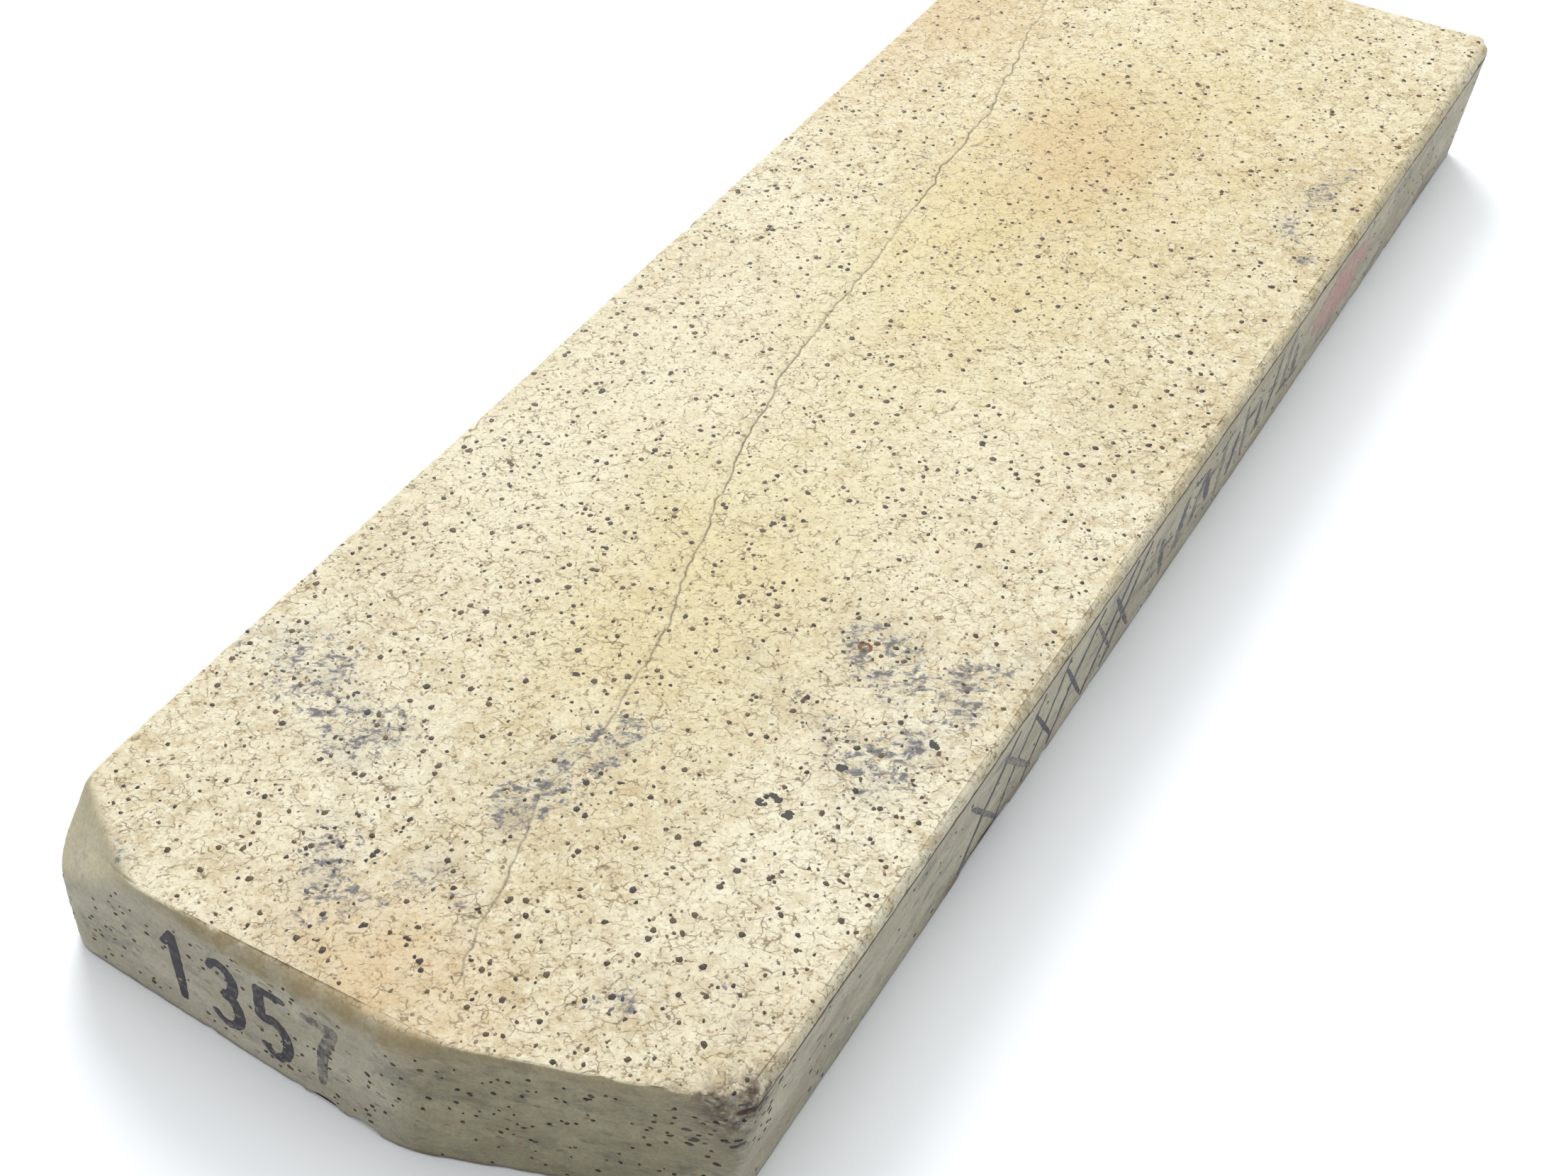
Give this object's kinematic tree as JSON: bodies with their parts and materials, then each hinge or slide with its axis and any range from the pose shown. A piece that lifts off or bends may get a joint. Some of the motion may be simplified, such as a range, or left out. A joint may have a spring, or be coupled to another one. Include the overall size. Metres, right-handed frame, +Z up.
{
  "type": "sharpening whetstone",
  "caption": "Flat rectangular bench whetstone of bedded natural stone, with an oblique near end, a worn corner facet and broken edges.",
  "frame": {"origin": "middle of the foot of the stone's bounding box, on the surface it lies on", "axes": "+X across the stone towards the long side with brushed marks, +Y along the stone away from the end with the ink number, +Z up out of the honing face"},
  "size_m": [0.0729, 0.2097, 0.0165],
  "materials": {
    "bedded_stone": "matt, lapped flat on top, sawn and hand-worn elsewhere",
    "mineral_grain": "dark brown mineral grains, flush with the stone",
    "blue_black_ink": "dried ink film, matt and worn",
    "seal_red_ink": "faded red ink film, matt"
  },
  "bodies": {
    "root": {"whetstone": "bedded_stone"}
  },
  "joints": []
}
